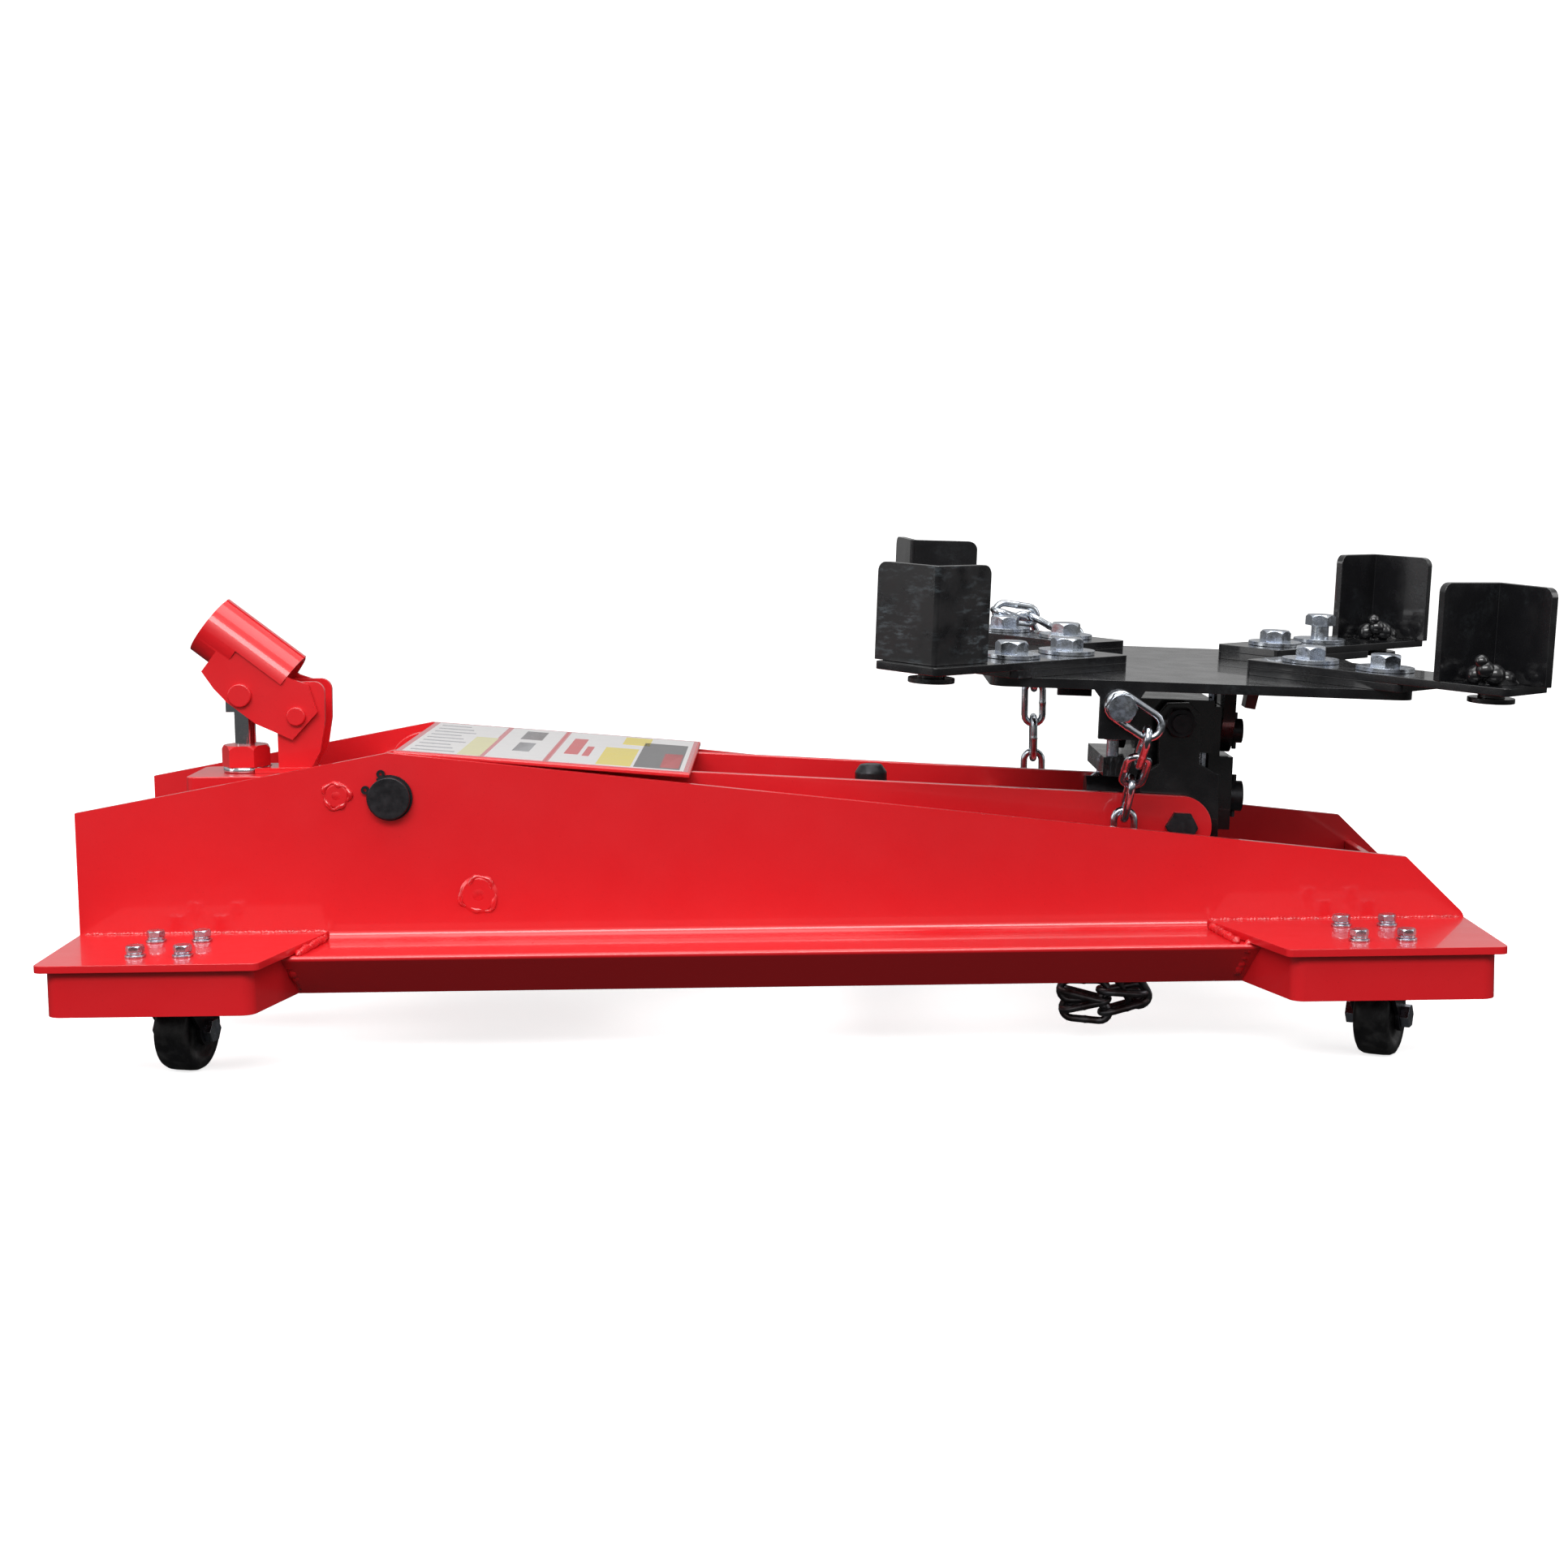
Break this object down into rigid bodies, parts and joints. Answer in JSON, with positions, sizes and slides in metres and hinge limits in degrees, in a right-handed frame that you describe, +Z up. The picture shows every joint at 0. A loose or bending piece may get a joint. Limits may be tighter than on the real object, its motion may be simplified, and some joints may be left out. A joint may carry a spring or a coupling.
{
  "type": "transmission jack",
  "caption": "Low hydraulic transmission jack: red steel chassis on swivel casters, a lift arm, a tilting black saddle with corner brackets, chains and a handle socket.",
  "frame": {"origin": "on the floor under the middle of the overall box", "axes": "+X along the chassis towards the saddle end, +Z up, -Y the near side"},
  "size_m": [0.8974, 0.394, 0.3112],
  "materials": {
    "red_paint": "gloss",
    "red_dark": "gloss",
    "black_paint": "gloss",
    "black_oxide": "satin",
    "zinc": "bright zinc plate",
    "steel": "turned",
    "chrome": "polished",
    "rubber": "matte"
  },
  "bodies": {
    "chassis": {"rail_near": "red_paint", "rail_far": "red_paint", "deck_rear_near": "red_paint", "deck_rear_far": "red_paint", "deck_front_near": "red_paint", "deck_front_far": "red_paint", "front_cross_plate": "red_paint", "tie_bars": "red_paint", "rest_channel": "black_oxide", "pivot_shaft": "black_oxide", "shaft_snap_rings": "black_oxide", "caster_fasteners": "zinc", "caster_plates": "zinc", "pump_block": "red_paint", "gland_nut": "red_paint", "cylinder_tube": "red_paint", "socket_bracket": "red_paint"},
    "lift_arm": {"arm_plate_near": "red_paint", "arm_plate_far": "red_paint", "arm_hub": "red_paint", "arm_cover": "red_paint", "arm_spreader": "red_paint", "front_pivot_bolts": "black_oxide"},
    "pull_links": {"pull_links": "red_paint"},
    "ram": {"ram": "steel"},
    "level_links": {"level_links": "red_paint"},
    "head": {"head_frame": "black_paint", "pitch_bolts": "black_oxide"},
    "cradle": {"cradle": "black_paint", "lower_shaft": "black_oxide", "cradle_screws": "zinc"},
    "saddle": {"saddle_plate": "black_paint", "saddle_stop": "red_dark", "roll_pin": "black_oxide", "saddle_guides": "black_paint", "saddle_bolts": "zinc", "chain_bolts": "zinc", "chain_far": "zinc"},
    "chain_hook": {"chain_hook_link": "zinc"},
    "chain": {"chain_near": "zinc"},
    "pump_plunger": {"pump_plunger": "chrome"},
    "handle_socket": {"handle_socket": "red_paint", "socket_pins": "red_paint"},
    "release_valve": {"release_valve": "steel"},
    "saddle_arm_rear_near": {"saddle_arm_rear_near": "black_paint"},
    "bracket_rear_near": {"bracket_rear_near": "black_paint"},
    "caster_fork_rear_near": {"caster_fork_rear_near": "black_oxide"},
    "caster_wheel_rear_near": {"caster_wheel_rear_near": "rubber"},
    "saddle_arm_rear_far": {"saddle_arm_rear_far": "black_paint"},
    "bracket_rear_far": {"bracket_rear_far": "black_paint"},
    "caster_fork_rear_far": {"caster_fork_rear_far": "black_oxide"},
    "caster_wheel_rear_far": {"caster_wheel_rear_far": "rubber"},
    "saddle_arm_front_near": {"saddle_arm_front_near": "black_paint"},
    "bracket_front_near": {"bracket_front_near": "black_paint"},
    "caster_fork_front_near": {"caster_fork_front_near": "black_oxide"},
    "caster_wheel_front_near": {"caster_wheel_front_near": "rubber"},
    "saddle_arm_front_far": {"saddle_arm_front_far": "black_paint"},
    "bracket_front_far": {"bracket_front_far": "black_paint"},
    "caster_fork_front_far": {"caster_fork_front_far": "black_oxide"},
    "caster_wheel_front_far": {"caster_wheel_front_far": "rubber"}
  },
  "joints": [
    {"name": "arm_lift", "type": "hinge", "parent": "chassis", "child": "lift_arm", "pos_m": [-0.25366, 0, 0.1615], "axis": [0, -1, 0], "range_deg": [0, 46]},
    {"name": "pull_link_turn", "type": "hinge", "parent": "lift_arm", "child": "pull_links", "pos_m": [-0.2735, 0, 0.107], "axis": [0, -1, 0], "range_deg": [-46.5, 0.5]},
    {"name": "ram_stroke", "type": "slide", "parent": "chassis", "child": "ram", "axis": [1, 0, 0], "range_m": [-0.0005, 0.0458]},
    {"name": "level_link_turn", "type": "hinge", "parent": "chassis", "child": "level_links", "pos_m": [-0.25366, 0, 0.1235], "axis": [0, -1, 0], "range_deg": [-0.5, 46.5]},
    {"name": "head_level", "type": "hinge", "parent": "lift_arm", "child": "head", "pos_m": [0.2414, 0, 0.13096], "axis": [0, -1, 0], "range_deg": [-46.5, 0.5]},
    {"name": "saddle_pitch", "type": "hinge", "parent": "head", "child": "cradle", "pos_m": [0.24134, 0, 0.197], "axis": [0, 1, 0], "range_deg": [-3, 12]},
    {"name": "saddle_roll", "type": "hinge", "parent": "cradle", "child": "saddle", "pos_m": [0.2409, 0, 0.18801], "axis": [0.9988, 0, -0.0489], "range_deg": [-5, 5]},
    {"name": "chain_hook_swing", "type": "hinge", "parent": "saddle", "child": "chain_hook", "pos_m": [0.19413, -0.12382, 0.21431], "axis": [0.0012, 0.9997, 0.0244], "range_deg": [-12.5, 3.5]},
    {"name": "chain_hang", "type": "hinge", "parent": "chain_hook", "child": "chain", "pos_m": [0.20972, -0.12382, 0.19513], "axis": [0.9988, 0, -0.0489], "range_deg": [-5.5, 5.5]},
    {"name": "arm_reach_rear_near", "type": "slide", "parent": "saddle", "child": "saddle_arm_rear_near", "axis": [-0.7071, -0.7069, 0.0173], "range_m": [-0.0125, 0.0125]},
    {"name": "bracket_swivel_rear_near", "type": "hinge", "parent": "saddle_arm_rear_near", "child": "bracket_rear_near", "pos_m": [0.07867, -0.14901, 0.24438], "axis": [0.0488, -0.0244, 0.9985], "continuous": true},
    {"name": "caster_swivel_rear_near", "type": "hinge", "parent": "chassis", "child": "caster_fork_rear_near", "pos_m": [-0.38066, -0.148, 0.06], "axis": [0, 0, 1], "continuous": true},
    {"name": "caster_roll_rear_near", "type": "hinge", "parent": "caster_fork_rear_near", "child": "caster_wheel_rear_near", "pos_m": [-0.37631, -0.13054, 0.025], "axis": [-0.9703, 0.2419, 0], "continuous": true},
    {"name": "arm_reach_rear_far", "type": "slide", "parent": "saddle", "child": "saddle_arm_rear_far", "axis": [-0.7054, 0.7069, 0.0518], "range_m": [-0.0125, 0.0125]},
    {"name": "bracket_swivel_rear_far", "type": "hinge", "parent": "saddle_arm_rear_far", "child": "bracket_rear_far", "pos_m": [0.09101, 0.14647, 0.251], "axis": [0.0488, -0.0244, 0.9985], "continuous": true},
    {"name": "caster_swivel_rear_far", "type": "hinge", "parent": "chassis", "child": "caster_fork_rear_far", "pos_m": [-0.38066, 0.148, 0.06], "axis": [0, 0, 1], "continuous": true},
    {"name": "caster_roll_rear_far", "type": "hinge", "parent": "caster_fork_rear_far", "child": "caster_wheel_rear_far", "pos_m": [-0.37753, 0.16573, 0.025], "axis": [-0.9848, 0.1736, 0], "continuous": true},
    {"name": "arm_reach_front_near", "type": "slide", "parent": "saddle", "child": "saddle_arm_front_near", "axis": [0.7054, -0.7069, -0.0518], "range_m": [-0.0125, 0.0125]},
    {"name": "bracket_swivel_front_near", "type": "hinge", "parent": "saddle_arm_front_near", "child": "bracket_front_near", "pos_m": [0.41185, -0.14901, 0.22808], "axis": [0.0488, -0.0244, 0.9985], "continuous": true},
    {"name": "caster_swivel_front_near", "type": "hinge", "parent": "chassis", "child": "caster_fork_front_near", "pos_m": [0.34334, -0.148, 0.06], "axis": [0, 0, 1], "continuous": true},
    {"name": "caster_roll_front_near", "type": "hinge", "parent": "caster_fork_front_near", "child": "caster_wheel_front_near", "pos_m": [0.35162, -0.13202, 0.025], "axis": [-0.8878, 0.4602, 0], "continuous": true},
    {"name": "arm_reach_front_far", "type": "slide", "parent": "saddle", "child": "saddle_arm_front_far", "axis": [0.7071, 0.7069, -0.0173], "range_m": [-0.0125, 0.0125]},
    {"name": "bracket_swivel_front_far", "type": "hinge", "parent": "saddle_arm_front_far", "child": "bracket_front_far", "pos_m": [0.4122, 0.14647, 0.23529], "axis": [0.0488, -0.0244, 0.9985], "continuous": true},
    {"name": "caster_swivel_front_far", "type": "hinge", "parent": "chassis", "child": "caster_fork_front_far", "pos_m": [0.34334, 0.148, 0.06], "axis": [0, 0, 1], "continuous": true},
    {"name": "caster_roll_front_far", "type": "hinge", "parent": "caster_fork_front_far", "child": "caster_wheel_front_far", "pos_m": [0.3495, 0.16491, 0.025], "axis": [-0.9397, 0.342, 0], "continuous": true},
    {"name": "pump_handle", "type": "hinge", "parent": "chassis", "child": "handle_socket", "pos_m": [-0.32566, 0, 0.205], "axis": [0, 1, 0], "range_deg": [-18, 20]},
    {"name": "pump_stroke", "type": "slide", "parent": "chassis", "child": "pump_plunger", "axis": [0, 0, 1], "range_m": [-0.0112, 0.0124]},
    {"name": "release_turn", "type": "hinge", "parent": "chassis", "child": "release_valve", "pos_m": [-0.39666, 0.016, 0.092], "axis": [1, 0, 0], "range_deg": [0, 180]}
  ],
  "couplings": [
    {"joint": "pull_link_turn", "follows": "arm_lift", "ratio": -1},
    {"joint": "ram_stroke", "follows": "arm_lift", "m_per_rad": 0.0564},
    {"joint": "level_link_turn", "follows": "arm_lift", "ratio": 1},
    {"joint": "head_level", "follows": "arm_lift", "ratio": -1},
    {"joint": "chain_hook_swing", "follows": "saddle_pitch", "ratio": -1},
    {"joint": "chain_hang", "follows": "saddle_roll", "ratio": -1},
    {"joint": "pump_stroke", "follows": "pump_handle", "m_per_rad": 0.0345}
  ]
}
